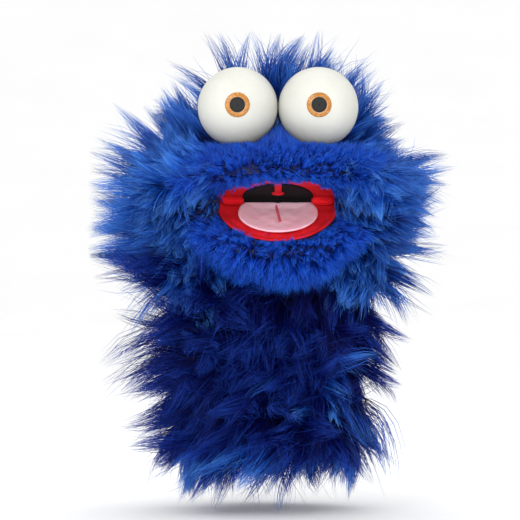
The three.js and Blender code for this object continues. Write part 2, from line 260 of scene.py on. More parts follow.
ROOT_SHADE_NAVY = linear(2, 6, 40)
SKIN_BLUE = linear(6, 26, 104)
LOOKS = {
    "long_fur": fur_material(
        "long_fur_strands", linear(2, 12, 76), linear(14, 74, 178), linear(68, 132, 222)),
    "short_fur": fur_material(
        "short_fur_strands", linear(3, 28, 114), linear(5, 64, 188), linear(30, 98, 210)),
    # A darker copy of the long fur: its darkness is painted shade, for the sleeve and the throat under the
    # head.
    "deep_fur": fur_material(
        "deep_fur_strands", linear(0, 1, 42), linear(2, 11, 94), linear(34, 74, 184), 0.45, 0.1),
    "fur_backing": cloth_material("fur_backing_knit", ROOT_SHADE_NAVY, SKIN_BLUE),
    "lining": cloth_material("lining_weave", linear(18, 32, 80), linear(30, 48, 108)),
    "binding": cloth_material("binding_weave", linear(14, 24, 62), linear(24, 40, 92), 1400),
    "red": felt_material("red_felt_fibres", linear(196, 12, 26), linear(236, 34, 48)),
    "black": felt_material("black_felt_fibres", linear(6, 5, 7), linear(20, 17, 22)),
    "pink": felt_material("pink_felt_fibres", linear(248, 188, 206), linear(255, 216, 228)),
    "thread": felt_material("stitch_thread", linear(190, 72, 92), linear(222, 104, 122)),
    "foam": foam_material("open_cell_foam", linear(10, 26, 86), linear(18, 40, 116)),
    "board": plastic_material("grey_board", linear(46, 46, 50), linear(66, 66, 70), 400, 0.75, 0.3),
    "tape": cloth_material("cloth_tape_weave", linear(12, 12, 14), linear(28, 28, 32), 1800, 0.6),
    "post": plastic_material("moulded_post", linear(28, 28, 32), linear(42, 42, 46), 120),
    "eye": plastic_material("matt_eye_white", linear(192, 192, 184), linear(200, 200, 192), 45, 0.6, 0.12),
    "pupil": plastic_material("pupil_black", linear(2, 2, 3), linear(6, 6, 8), 80, 0.75),
}


def iris_material():
    """Amber, finely mottled."""
    m = Nodes("iris_amber")
    position = m.place()
    mottle = m.noise(900, 6, 0.7, position)
    ambers = [(0.3, linear(116, 66, 18)), (0.5, linear(168, 108, 36)), (0.7, linear(206, 150, 66))]
    m.set("Base Color", m.ramp(mottle, ambers))
    m.set("Roughness", 0.25)
    return m.material


LOOKS["iris"] = iris_material()


# ---- meshes ----
def new_object(name, vertices, faces, look):
    mesh = bpy.data.meshes.new(name)
    mesh.from_pydata((np.asarray(vertices) * MM).tolist(), [], faces)
    mesh.validate()
    return finish_object(name, mesh, look)


def finish_object(name, mesh, look):
    work = bmesh.new()
    work.from_mesh(mesh)
    bmesh.ops.remove_doubles(work, verts=work.verts, dist=1e-6)
    bmesh.ops.dissolve_degenerate(work, edges=work.edges, dist=1e-7)
    bmesh.ops.recalc_face_normals(work, faces=work.faces)
    if work.calc_volume(signed=True) < 0:
        bmesh.ops.reverse_faces(work, faces=work.faces)
    work.to_mesh(mesh)
    work.free()
    mesh.polygons.foreach_set("use_smooth", [True] * len(mesh.polygons))
    mesh.materials.clear()
    mesh.materials.append(LOOKS[look])
    thing = add_object(name, mesh)
    return thing


def shell(name, outer, inner, look, wrap=False, keep=None):
    """A closed piece between two grids of points. keep says which cells are there."""
    rows, columns = outer.shape[:2]
    across = columns if wrap else columns - 1
    count = rows * columns
    keep = np.ones((rows - 1, across), bool) if keep is None else keep
    faces = []
    edges = {}

    def add(corners):
        faces.append(corners)
        faces.append([c + count for c in reversed(corners)])
        for a, b in zip(corners, corners[1:] + corners[:1]):
            key = (min(a, b), max(a, b))
            edges[key] = None if key in edges else (a, b)

    for r in range(rows - 1):
        for c in range(across):
            if keep[r, c]:
                d = (c + 1) % columns
                add([r * columns + c, r * columns + d, (r + 1) * columns + d, (r + 1) * columns + c])
    for pair in edges.values():
        if pair:
            a, b = pair
            faces.append([b, a, a + count, b + count])
    points = np.concatenate([outer.reshape(-1, 3), inner.reshape(-1, 3)])
    return new_object(name, points, faces, look)


def circle(count):
    return np.linspace(0, 2 * math.pi, count, endpoint=False)


def ring_faces(rings, sides):
    """Quads between rings of points."""
    faces = []
    for r in range(rings - 1):
        for c in range(sides):
            d = (c + 1) % sides
            faces.append([r * sides + c, r * sides + d, (r + 1) * sides + d, (r + 1) * sides + c])
    return faces


def end_faces(rings, sides):
    return [list(range(sides)), [(rings - 1) * sides + c for c in range(sides)]]


def unit(v):
    return v / np.maximum(np.linalg.norm(v, axis=-1, keepdims=True), 1e-9)


def smoothstep(low, high, x):
    t = np.clip((x - low) / (high - low), 0, 1)
    return t * t * (3 - 2 * t)


def stand_in(piece, body, *nodes):
    """The piece shows in place of CAD nodes and moves with a body."""
    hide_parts(*nodes)
    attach(piece, body)


# ---- surface samples ----
def surface(thing):
    """Triangle corners and their normals of a made piece, in millimetres."""
    mesh = thing.data
    mesh.calc_loop_triangles()
    points = np.zeros(len(mesh.vertices) * 3)
    mesh.vertices.foreach_get("co", points)
    triangles = np.zeros(len(mesh.loop_triangles) * 3, int)
    mesh.loop_triangles.foreach_get("vertices", triangles)
    corners = points.reshape(-1, 3)[triangles.reshape(-1, 3)] / MM
    cross = np.cross(corners[:, 1] - corners[:, 0], corners[:, 2] - corners[:, 0])
    return corners, unit(cross), np.linalg.norm(cross, axis=1) / 2


def scatter(thing, count, where, rng):
    """Points spread evenly over the faces whose middle and normal pass the where test."""
    corners, normals, areas = surface(thing)
    middle = corners.mean(1)
    weight = areas * np.clip(where(middle, normals), 0, None)
    weight = weight / weight.sum()
    chosen = rng.choice(len(weight), count, p=weight)
    a, b = rng.random(count), rng.random(count)
    flip = a + b > 1
    a[flip], b[flip] = 1 - a[flip], 1 - b[flip]
    tri = corners[chosen]
    points = tri[:, 0] + a[:, None] * (tri[:, 1] - tri[:, 0]) + b[:, None] * (tri[:, 2] - tri[:, 0])
    return points, normals[chosen]


# ---- strands ----
DOWN = np.array([0, 0, -1.0])
TONES = 64  # columns of the UV map, one brightness each
LOOSE_SHARE = 0.07  # the share of the strands that stay out of their wisp
LOOSE_GRIP, WISP_GRIP = 0.25, 0.92


def path_from(roots, heading, length, steps, sag, curl, axis, phase, turns):
    points = [roots]
    direction = heading
    step = (length / steps)[:, None]
    for k in range(steps):
        t = (k + 1) / steps
        wave = (curl * np.cos(phase + turns * t * 2 * math.pi))[:, None]
        direction = unit(direction + DOWN * (sag / steps)[:, None] * 2 * t + axis * wave / steps)
        points.append(points[-1] + direction * step)
    return np.stack(points, 1)


def past_eyes(points, overlap=3.5):
    """True for strands that neither enter an eye ball nor lie in front of one, apart from its lowest rim."""
    clear = np.ones(len(points), bool)
    for centre, radius in EYES.values():
        away = points - centre
        inside = np.linalg.norm(away, axis=-1) < radius + 0.2
        flat = np.hypot(away[..., 0], away[..., 2])
        before = (flat < radius - 0.5) & (away[..., 1] < 4) & (away[..., 2] > overlap - radius)
        clear &= ~(inside | before).any(1)
    return clear


def drift(points, rng, size=26.0):
    """A slow random field, so that neighbouring locks lean together."""
    field = np.zeros_like(points)
    for _ in range(5):
        turn = rng.normal(0, 1 / size, (3, 3))
        field += np.sin(points @ turn + rng.uniform(0, 6.28, 3))
    return field / 2.2


def nearest(points, leaders):
    """For each point, the number of the nearest leader."""
    tree = kdtree.KDTree(len(leaders))
    for index, leader in enumerate(leaders):
        tree.insert(points[leader], index)
    tree.balance()
    return np.array([tree.find(p)[1] for p in points.tolist()])


def drawn(points, lead, member, roots, lead_roots, length, lead_length, weight, t, spread):
    """Pulls each line towards its leader's, more so at the tip."""
    start = lead_roots[member][:, None, :]
    share = (length / lead_length[member])[:, None, None]
    target = start + (lead[member] - start) * share + (roots[:, None, :] - start) * (1 - t) * spread
    return points * (1 - weight) + target * weight


def kept_in_box(points, roots):
    """Each strand that reaches too far past the CAD box is made smaller about its root."""
    low, high = np.array(CAD_BOX[0]) / MM, np.array(CAD_BOX[1]) / MM
    room = (high - low) * PROUD_SHARE + PROUD
    start = roots[:, None, :]
    still = 1e-6
    run = points - start
    run[:, 0] = still
    limit = np.where(run > 0, high + room - start, low - room - start)
    share = limit / np.where(np.abs(run) < still, still, run)
    fits = share.min((1, 2), where=np.abs(run) > still, initial=1.0)
    return start + (points - start) * fits.clip(0.05, 1)[:, None, None]


def strands(name, roots, heading, length, rng, look, slot, *, lock, wisp, spread, lean, sag, curl, hold, sway,
            width, late, contrast, turns=0.8, short=0.8, steps=5, tone=0.0, eyes=False):
    """One closed tapered strand per root. They gather into wisps, and the wisps into pointed locks.

    lock and wisp count the strands in one. spread and sway turn the locks, singly and in groups, and lean
    turns the strands. hold and late say how far, and how late, a wisp joins its lock.
    """
    n = len(roots)
    length = length * np.ones(n)
    tone = tone * np.ones(n)
    locks = rng.choice(n, max(1, n // lock), replace=False)
    wisps = rng.choice(n, max(1, n // wisp), replace=False)
    in_lock = nearest(roots, locks)
    in_wisp = nearest(roots, wisps)
    k = len(locks)
    lock_heading = heading[locks] + sway * drift(roots[locks], rng) + rng.normal(0, spread, (k, 3))
    lock_heading = unit(lock_heading)
    lock_length = length[locks] * rng.uniform(short, 1.12, k)
    lock_axis = unit(np.cross(lock_heading, rng.normal(0, 1, (k, 3))))
    lock_phase = rng.uniform(0, 2 * math.pi, k)
    lock_curl = curl * rng.uniform(0.3, 1.5, k)
    lock_turns = turns * rng.uniform(0.6, 1.3, k)
    lock_sag = sag * rng.uniform(0.5, 1.5, k)
    lock_tone = rng.normal(0, 0.15, k) * contrast
    t = np.linspace(0, 1, steps + 1)[None, :, None]

    def own_lines(which, noise, slack):
        m = in_lock[which]
        count = len(which)
        line_heading = unit(lock_heading[m] * 0.7 + heading[which] * 0.3 + rng.normal(0, noise, (count, 3)))
        line_length = lock_length[m] * rng.uniform(1 - slack, 1.06, count)
        phase = lock_phase[m] + rng.normal(0, 0.4, count)
        lines = path_from(roots[which], line_heading, line_length, steps,
                          lock_sag[m], lock_curl[m], lock_axis[m], phase, lock_turns[m])
        return lines, line_length

    lead = path_from(roots[locks], lock_heading, lock_length, steps,
                     lock_sag, lock_curl, lock_axis, lock_phase, lock_turns)
    wisp_lines, wisp_length = own_lines(wisps, lean, 0.25)
    grip = (hold * rng.uniform(0.85, 1.08, len(wisps))).clip(0, 0.98)[:, None, None]
    wisp_lines = drawn(wisp_lines, lead, in_lock[wisps], roots[wisps], roots[locks], wisp_length, lock_length,
                       grip * t**late, t, 1.0)
    lines, line_length = own_lines(np.arange(n), lean * 1.6, 0.35)
    loose = rng.random(n) < LOOSE_SHARE
    grip = np.where(loose, LOOSE_GRIP, WISP_GRIP * rng.uniform(0.85, 1.08, n))[:, None, None]
    points = drawn(lines, wisp_lines, in_wisp, roots, roots[wisps], line_length, wisp_length,
                   grip * t**0.9, t, 0.8)
    points = kept_in_box(points, roots)
    wisp_tone = rng.normal(0, 0.07, len(wisps)) * contrast
    # Loose strands are made lighter by 0.3: painted highlight on stray hairs.
    tone_value = 0.5 + tone + lock_tone[in_lock] + wisp_tone[in_wisp] + rng.normal(0, 0.16, n) + 0.3 * loose
    tone_value = np.clip(tone_value, 0.02, 0.98)
    widths = width * rng.uniform(0.7, 1.15, n) * np.where(loose, 0.75, 1)
    if eyes:
        clear = past_eyes(points)
        points, tone_value, widths = points[clear], tone_value[clear], widths[clear]
    return build_strands(name, points, widths, tone_value, look, rng)


def build_strands(name, points, width, tone, look, rng):
    """One mesh of three-sided prisms that taper to a point, with a UV column for each strand's tone."""
    n, levels = points.shape[:2]
    steps = levels - 1
    t = np.linspace(0, 1, levels)
    taper = (1 - t**2.4) ** 0.8
    tangent = unit(np.gradient(points, axis=1))
    side = unit(np.cross(tangent, unit(rng.normal(0, 1, (n, 1, 3)))))
    other = np.cross(tangent, side)
    rings = []
    for corner in range(3):
        angle = corner * 2 * math.pi / 3
        radius = (width[:, None] / 2 * taper[None, :])[:, :, None]
        rings.append(points + radius * (side * math.cos(angle) + other * math.sin(angle)))
    body = np.stack(rings, 2)[:, :steps].reshape(n, steps * 3, 3)
    vertices = np.concatenate([body, points[:, -1:]], 1) * MM
    per = steps * 3 + 1
    quads = []
    quad_uv = []
    for k in range(steps - 1):
        low, high = k / steps, (k + 1) / steps
        for c in range(3):
            d = (c + 1) % 3
            quads.append([k * 3 + c, k * 3 + d, k * 3 + 3 + d, k * 3 + 3 + c])
            quad_uv.append([(c / 3, low), ((c + 1) / 3, low), ((c + 1) / 3, high), (c / 3, high)])
    tris = []
    tri_uv = []
    last = (steps - 1) * 3
    high = (steps - 1) / steps
    for c in range(3):
        d = (c + 1) % 3
        tris.append([last + c, last + d, per - 1])
        tri_uv.append([(c / 3, high), ((c + 1) / 3, high), ((c + 0.5) / 3, 1)])
    tris.append([2, 1, 0])
    tri_uv.append([(1, 0), (0, 0), (0.5, 0.5 / steps)])
    offsets = np.arange(n)[:, None] * per
    quad_index = (np.array(quads).reshape(1, -1) + offsets).reshape(-1)
    tri_index = (np.array(tris).reshape(1, -1) + offsets).reshape(-1)
    column = (np.floor(tone * TONES) / TONES)[:, None]

    def lay(uv):
        flat = np.array(uv).reshape(-1, 2)
        u = column + (0.1 + 0.8 * flat[None, :, 0]) / TONES
        v = np.broadcast_to(0.01 + 0.98 * flat[None, :, 1], u.shape)
        return np.stack([u, v], -1).reshape(-1, 2)

    mesh = bpy.data.meshes.new(name)
    mesh.vertices.add(n * per)
    mesh.vertices.foreach_set("co", vertices.reshape(-1).astype(np.float32))
    n_quads, n_tris = n * len(quads), n * len(tris)
    mesh.loops.add(n_quads * 4 + n_tris * 3)
    mesh.loops.foreach_set("vertex_index", np.concatenate([quad_index, tri_index]).astype(np.int32))
    mesh.polygons.add(n_quads + n_tris)
    starts = np.concatenate([np.arange(n_quads) * 4, n_quads * 4 + np.arange(n_tris) * 3])
    mesh.polygons.foreach_set("loop_start", starts.astype(np.int32))
    mesh.update(calc_edges=True)
    mesh.polygons.foreach_set("use_smooth", np.ones(n_quads + n_tris, bool))
    layer = mesh.uv_layers.new(name="OFBake")
    layer.data.foreach_set("uv", np.concatenate([lay(quad_uv), lay(tri_uv)]).reshape(-1).astype(np.float32))
    mesh.materials.append(LOOKS[look])
    thing = add_object(name, mesh)
    return thing


# ---- skins: the knitted backing that the pile grows from ----
def dome_grid(grown, rows=40, columns=96, bottom=HEAD_BOTTOM):
    """A dome with a straight wall under it, from the top down."""
    radii = HEAD_RADII + grown
    cap = np.linspace(0.03, math.pi / 2, rows * 2 // 3)
    around = circle(columns)
    lines = [(math.sin(a), HEAD_CENTRE[2] + radii[2] * math.cos(a)) for a in cap]
    lines += [(1, z) for z in np.linspace(HEAD_CENTRE[2], bottom, rows - len(lines) + 1)[1:]]
    x, y = HEAD_CENTRE[:2]
    wide, deep = radii[:2]
    return np.array([
        [[x + wide * r * math.cos(b), y + deep * r * math.sin(b), z] for b in around] for r, z in lines
    ])


def open_face(grid):
    """False for the cells where the mouth needs room and where the eye posts pass."""
    middle = (grid[:-1] + grid[1:]) / 2
    return ~((middle[..., 1] < FACE_BACK) & (middle[..., 2] < FACE_TOP))


def tube_grid(profile, around=96, levels=16):
    """profile: rows of height, half width, half depth."""
    heights, wide, deep = np.array(profile).T
    z = np.linspace(heights[0], heights[-1], levels)
    a = circle(around)
    w, d = np.interp(z, heights, wide)[:, None], np.interp(z, heights, deep)[:, None]
    return np.stack([w * np.cos(a), d * np.sin(a), np.broadcast_to(z[:, None], (levels, around))], -1)


def tube(name, profile, thickness, look, levels=16, keep=None):
    outer = tube_grid(profile, levels=levels)
    inner = tube_grid([(z, w - thickness, d - thickness) for z, w, d in profile], levels=levels)
    kept = keep((outer[:-1] + outer[1:]) / 2) if keep else None
    return shell(name, outer, inner, look, wrap=True, keep=kept)


outer_dome = dome_grid(0.8)
head_skin = shell("head_fur_backing", outer_dome, dome_grid(-0.1), "fur_backing", wrap=True,
                  keep=open_face(outer_dome))
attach(head_skin, "head")

SLEEVE_SKIN = [(-1, 57.6, 47.6), (58, 53.8, 44.2)]  # height, half width, half depth
sleeve_skin = tube("sleeve_fur_backing", SLEEVE_SKIN, 1.1, "fur_backing", 12)
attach(sleeve_skin, "sleeve")

NECK_BANDS = [
    (54, 53.2, 43.6), (66, 51.4, 44.6), (80, 50.6, 46), (95, 52.6, 47.4), (108, 56.4, 49), (119, 60, 50),
]


def band(low, high):
    """The neck's profile between two heights."""
    table = np.array(NECK_BANDS)
    inside = [(z, np.interp(z, table[:, 0], table[:, 1]), np.interp(z, table[:, 0], table[:, 2]))
              for z in np.linspace(low, high, 6)]
    return [tuple(float(v) for v in row) for row in inside]


# name, lowest and highest point, the two bodies it joins, and where it turns from one to the other
ZONES = [
    ("neck_cloth_low", 54, 74, "sleeve", "neck_lower", 57, 72),
    ("neck_cloth_middle", 73, 95, "neck_lower", "neck_upper", 75, 94),
    ("neck_cloth_high", 94, 119, "neck_upper", "head", 95, 114),
]
neck_skins = {}
for zone, low, high, *_ in ZONES:
    neck_skins[zone] = tube(zone, band(low, high), 1, "fur_backing", 8)

# ---- padded lips ----
def pad_from(name, nodes, look, voxel=0.0016, shrink=0.0015):
    """Copies CAD solids, melts them into one soft form and smooths it."""
    work = bmesh.new()
    for node in nodes:
        work.from_mesh(frame["nodes"][node].data)
    mesh = bpy.data.meshes.new(name)
    work.to_mesh(mesh)
    work.free()
    thing = add_object(name, mesh)
    bpy.context.view_layer.objects.active = thing
    remesh = thing.modifiers.new("melt", "REMESH")
    remesh.mode = "VOXEL"
    remesh.voxel_size = voxel
    relax = thing.modifiers.new("relax", "SMOOTH")
    relax.factor = 0.5
    relax.iterations = 10
    ready = bpy.data.meshes.new_from_object(thing.evaluated_get(bpy.context.evaluated_depsgraph_get()))
    bpy.data.objects.remove(thing)
    normals = np.zeros(len(ready.vertices) * 3)
    points = np.zeros(len(ready.vertices) * 3)
    ready.vertex_normals.foreach_get("vector", normals)
    ready.vertices.foreach_get("co", points)
    ready.vertices.foreach_set("co", points - normals * shrink)
    ready.update()
    ready.name = name
    return finish_object(name, ready, look)


muzzle = pad_from("muzzle_form", ["muzzle_pad", "muzzle_fur"], "fur_backing")
stand_in(muzzle, "head", "muzzle_pad", "muzzle_fur")
chin = pad_from("chin_form", ["chin_pad", "chin_fur"], "fur_backing")
stand_in(chin, "jaw", "chin_pad", "chin_fur")


def soft_ball(name, centre, radii):
    """A plump closed form."""
    polar = np.linspace(0.04, math.pi - 0.04, 24)
    around = circle(40)
    ball = [
        [[math.sin(p) * math.cos(a), math.sin(p) * math.sin(a), math.cos(p)] for a in around] for p in polar
    ]
    outer = np.array(centre) + np.array(ball) * np.array(radii)
    size = outer.shape[:2]
    faces = ring_faces(*size) + end_faces(*size)
    return new_object(name, outer.reshape(-1, 3), faces, "fur_backing")


SIDES = ((-1, "left"), (1, "right"))
cheeks, jowls = {}, {}
for side, word in SIDES:
    cheeks[word] = soft_ball(f"cheek_form_{word}", HINGE + [side * 60, -8, -5], [19, 28, 24])
for side, word in SIDES:
    jowls[word] = soft_ball(f"jowl_form_{word}", HINGE + [side * 51, 0, -35], [18, 22, 27])

# ---- fur ----
seeds = iter(range(100, 200))


def fresh():
    return np.random.default_rng(next(seeds))


def lip_local(points, angle):
    """The inverse of lip_to_world."""
    q = points - HINGE
    c, s = math.cos(angle), math.sin(angle)
    return np.stack([q[..., 0], q[..., 1] * c + q[..., 2] * s, q[..., 2] * c - q[..., 1] * s], -1)


def in_mouth(points, angle, grown=1.5):
    """True over or under the felt of a lip, in the lip's own plan."""
    p = lip_local(points, angle)
    across, root_shade_along = p[:, 0] / (LIP_HALF + grown), (p[:, 1] - LIP_BACK) / (LIP_DEPTH + LIP_BACK + grown)
    return across**2 + root_shade_along**2 < 1


def head_heading(points, normals):
    """The pile fans out from the middle of the face, and lies back and down behind the head."""
    fan = points - np.array([0, 0, 158])
    fan[:, 1] = 0
    fan = unit(fan)
    behind = smoothstep(8, 40, points[:, 1])[:, None]
    front = np.array([0, -0.12, 0.0])
    return unit(normals * 0.5 + fan * (0.9 - 0.6 * behind) + front * (1 - behind) + DOWN * 0.45 * behind)


# The make of the long pile. A piece states only what differs.
LONG = dict(lock=52, wisp=7, spread=0.15, lean=0.07, sag=0.16, curl=0.5, turns=0.6, hold=0.97, sway=0.42,
            short=0.58, width=0.58, late=1.2, contrast=1.35)


def head_locks(name, node, count, where, length, **more):
    rng = fresh()
    roots, normals = scatter(head_skin, count, where, rng)
    heading = head_heading(roots, normals)
    settings = {**LONG, **more}
    thing = strands(name, roots, heading, length(roots), rng, "long_fur", "long_fur", eyes=True, **settings)
    stand_in(thing, "head", node)


def outward(points, normals):
    return np.einsum("ij,ij->i", normals, points - np.array([0, 0, 170])) > 0


def crown_length(points):
    """Longest at the middle, and shortest at the outer end on one side."""
    x = points[:, 0]
    return 64 - 5 * smoothstep(10, 45, np.abs(x)) - 12 * smoothstep(-20, -50, x)


head_locks("crown_locks", "head_fur_crown", 6900,
           lambda p, n: outward(p, n) * (p[:, 2] > CROWN - 3) * (p[:, 1] > -38),
           crown_length, spread=0.3, lock=60)
for side, word in SIDES:
    reach = 71 - 8 * side
    head_locks(f"side_locks_{word}", f"head_fur_{word}", 6900,
               lambda p, n: outward(p, n) * (p[:, 2] < CROWN + 3) * (side * p[:, 0] > 0)
               * ((p[:, 1] < 14) | (side * p[:, 0] > 44)) * (1 + 1.2 * (p[:, 1] < 12)),
               lambda p: reach - 10 * smoothstep(145, 118, p[:, 2]) - 26 * smoothstep(178, 203, p[:, 2]))
head_locks("back_locks", "head_fur_back", 6900,
           lambda p, n: outward(p, n) * (p[:, 2] < CROWN + 6) * (p[:, 1] > 4) * (np.abs(p[:, 0]) < 52),
           lambda p: 48.0 + 0 * p[:, 0])


def plush(name, form, count, where, length, heading, **more):
    rng = fresh()
    roots, normals = scatter(form, count, where, rng)
    settings = dict(lock=24, wisp=5, spread=0.25, lean=0.22, sag=0.12, curl=0.7, hold=0.5, width=0.5, steps=3,
                    eyes=True, sway=0.35, look="short_fur", late=1.2, contrast=0.6)
    settings.update(more)
    look = settings.pop("look")
    return strands(name, roots, heading(roots, normals), length(roots), rng, look, "short_fur", **settings)


def between_eyes(points):
    """The top of the muzzle's middle, where the pile stands up in a peak."""
    return smoothstep(15, 0, np.abs(points[:, 0])) * smoothstep(188, 202, points[:, 2])


def lip_sweep(points, normals, angle, fall):
    """Combed from the middle of the lip to the sides, and away from the mouth at its rim."""
    local = lip_local(points, angle)
    away = unit(np.stack([local[:, 0], local[:, 1] + 22, 0 * local[:, 0]], -1))
    rim = smoothstep(24, 1, np.abs(local[:, 2]))[:, None]
    sweep = np.stack([points[:, 0] / 55, 0 * points[:, 0], fall + 0 * points[:, 0]], -1)
    peak = between_eyes(points)[:, None] * [0, 0, 1]
    return unit(normals * (0.8 - 0.25 * rim) + sweep * 0.7 * (1 - rim) + away * 0.55 * rim + peak)


def lip_skin(points, normals, angle, side):
    """The outside of a lip: not its back, and not the hollow round the felt and the hand."""
    local = lip_local(points, angle)
    turned = lip_local(normals + HINGE, angle)
    hollow = in_mouth(points, angle) & (side * turned[:, 2] < 0.25) & (side * local[:, 2] < 26)
    behind = normals[:, 1] > 0.6
    return ~hollow & ~behind


for side, part in SIDES:

    def half_lip(points, normals, angle, face):
        return lip_skin(points, normals, angle, face) * (side * points[:, 0] >= 0)

    tuft = plush(f"muzzle_plush_{part}", muzzle, 12400,
                 lambda p, n: half_lip(p, n, UPPER_RISE, 1) * (np.abs(p[:, 0]) < 64),
                 lambda p: 9 + 15 * smoothstep(34, 64, np.abs(p[:, 0])) + 8 * between_eyes(p),
                 lambda p, n: lip_sweep(p, n, UPPER_RISE, 0.12))
    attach(tuft, "head")
    tuft = plush(f"muzzle_locks_{part}", muzzle, 5600,
                 lambda p, n: half_lip(p, n, UPPER_RISE, 1) * smoothstep(38, 58, np.abs(p[:, 0])),
                 lambda p: 24 + 22 * smoothstep(48, 76, np.abs(p[:, 0])),
                 lambda p, n: lip_sweep(p, n, UPPER_RISE, 0.1),
                 **{**LONG, "lock": 40, "steps": 5, "look": "long_fur", "contrast": 0.9})
    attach(tuft, "head")
    tuft = plush(f"chin_plush_{part}", chin, 7800,
                 lambda p, n: half_lip(p, n, LOWER_DROP, -1),
                 lambda p: 9 + 12 * smoothstep(38, 64, np.abs(p[:, 0])) + 10 * smoothstep(138, 120, p[:, 2]),
                 lambda p, n: lip_sweep(p, n, LOWER_DROP, -0.35), tone=0.1)
    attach(tuft, "jaw")

for side, word in SIDES:
    form = cheeks[word]
    # The cheek locks' tone of -0.12 is painted shade below the mouth corners.
    tuft = plush(f"cheek_plush_{word}", form, 5200, lambda p, n: n[:, 1] < 0.5,
                 lambda p: 12 + 22 * smoothstep(50, 76, np.abs(p[:, 0])),
                 lambda p, n: unit(n * 0.7 + np.array([side, -0.3, 0]) * 0.7),
                 **{**LONG, "lock": 36, "steps": 5, "look": "long_fur", "contrast": 0.9, "tone": -0.12})
    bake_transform(tuft)
    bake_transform(form)
    form = jowls[word]
    # The jowl locks' tone of -0.14 is painted shade below the mouth corners.
    tuft = plush(f"jowl_locks_{word}", form, 3600, lambda p, n: (n[:, 1] < 0.4) * (1 + (p[:, 2] < 135)),
                 lambda p: 24 + 12 * smoothstep(145, 118, p[:, 2]),
                 lambda p, n: unit(n * 0.55 + np.array([0.6 * side, -0.2, -0.7])),
                 **{**LONG, "lock": 45, "steps": 5, "look": "long_fur", "tone": -0.14})
    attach(tuft, "head")
    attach(form, "head")

TO_ONE_SIDE = np.array([-0.4, 0, 0])


def hanging(points, normals):
    """Out from the arm and down, brushed a little to one side, and more so towards the hem."""
    low = smoothstep(44, 0, points[:, 2])[:, None]
    right = smoothstep(10, 55, points[:, 0])[:, None]
    behind = smoothstep(5, 40, points[:, 1])[:, None]
    left = (smoothstep(-20, -50, points[:, 0]) * smoothstep(40, 66, points[:, 2]))[:, None]
    outward_share = 0.95 - 0.6 * low - 0.25 * right - 0.25 * behind + 0.3 * left
    fall = 0.4 + 0.75 * low + 0.3 * right + 0.3 * behind - 0.35 * left
    return unit(normals * outward_share + DOWN * fall + TO_ONE_SIDE)


def sleeve_length(points):
    """Longest at the middle of the hem, so that the fringe ends in a blunt point, and shorter behind."""
    rim = smoothstep(30, 0, points[:, 2])
    edge = smoothstep(4, 56, np.abs(points[:, 0] + 6))
    behind = smoothstep(5, 40, points[:, 1])
    left = smoothstep(-20, -50, points[:, 0]) * smoothstep(40, 66, points[:, 2])
    longest = 61 - 10 * smoothstep(10, 58, points[:, 0]) - 12 * behind * (1 - 0.6 * rim) + 19 * left
    return np.minimum(longest, (points[:, 2] + 49 - 20 * edge) / 0.74)


def sleeve_shade_and_hem_tone(points):
    """Painted shade, darkest in the middle under the chin where the head shades the sleeve, and lighter
    towards the hem.
    """
    shade = (1 - smoothstep(26, 60, np.abs(points[:, 0]))) * smoothstep(-4, 36, points[:, 2])
    return 0.02 - 0.26 * shade * (points[:, 1] < 10) + 0.1 * smoothstep(26, 0, points[:, 2])


def sleeve_locks(name, skin, count, where, node=None, **more):
    rng = fresh()
    roots, normals = scatter(skin, count, where, rng)
    settings = {**LONG, "curl": 1.5, "sag": 0.25, "spread": 0.32, "width": 0.54, "contrast": 0.6, **more}
    look = settings.pop("look", "deep_fur")
    thing = strands(name, roots, hanging(roots, normals), sleeve_length(roots), rng, look, "long_fur",
                    tone=sleeve_shade_and_hem_tone(roots), **settings)
    if node:
        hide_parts(node)
    return thing


def out_of_arm(points, normals):
    return (normals[:, 0] * points[:, 0] + normals[:, 1] * points[:, 1]) > 0


for side, word in ((-1, "front"), (1, "back")):
    locks = sleeve_locks(f"sleeve_locks_{word}", sleeve_skin, 7000,
                         lambda p, n: out_of_arm(p, n) * (side * p[:, 1] > -2), f"sleeve_fur_{word}")
    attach(locks, "sleeve")
fringe = sleeve_locks("hem_fringe", sleeve_skin, 5200, lambda p, n: out_of_arm(p, n) * (p[:, 2] < 10),
                      look="long_fur", lock=44, spread=0.16, curl=0.8, contrast=1.0, width=0.58)
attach(fringe, "sleeve")


def swirl_locks():
    """Lighter locks that curl round one another on the front of the sleeve."""
    rng = fresh()
    spot, reach = np.array([28, -42, 36]), 21

    def near(points, normals):
        return out_of_arm(points, normals) * (np.linalg.norm(points - spot, axis=1) < reach)

    roots, normals = scatter(sleeve_skin, 1500, near, rng)
    around = unit(np.cross(normals, roots - spot))
    heading = unit(normals * 0.8 - around * 0.8 + DOWN * 0.25)
    settings = {**LONG, "lock": 60, "curl": 2.6, "turns": 0.5, "spread": 0.2, "sag": 0.4}
    locks = strands("sleeve_swirl", roots, heading, 46, rng, "long_fur", "long_fur", tone=0.05, **settings)
    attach(locks, "sleeve")


def stray_locks():
    """A few long thin locks that stand away from the sleeve and hang in hooks."""
    rng = fresh()

    def low_right(points, normals):
        x, y, z = points.T
        return out_of_arm(points, normals) * (x > 30) * (z < 30) * (y < 0)

    roots, normals = scatter(sleeve_skin, 150, low_right, rng)
    heading = unit(np.array([0.45, -0.4, -0.05]) + 0.3 * normals)
    settings = {**LONG, "lock": 24, "curl": 0.4, "turns": 0.3, "sag": 1.9, "short": 0.8}
    locks = strands("sleeve_strays", roots, heading, 56, rng, "long_fur", "long_fur", **settings)
    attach(locks, "sleeve")


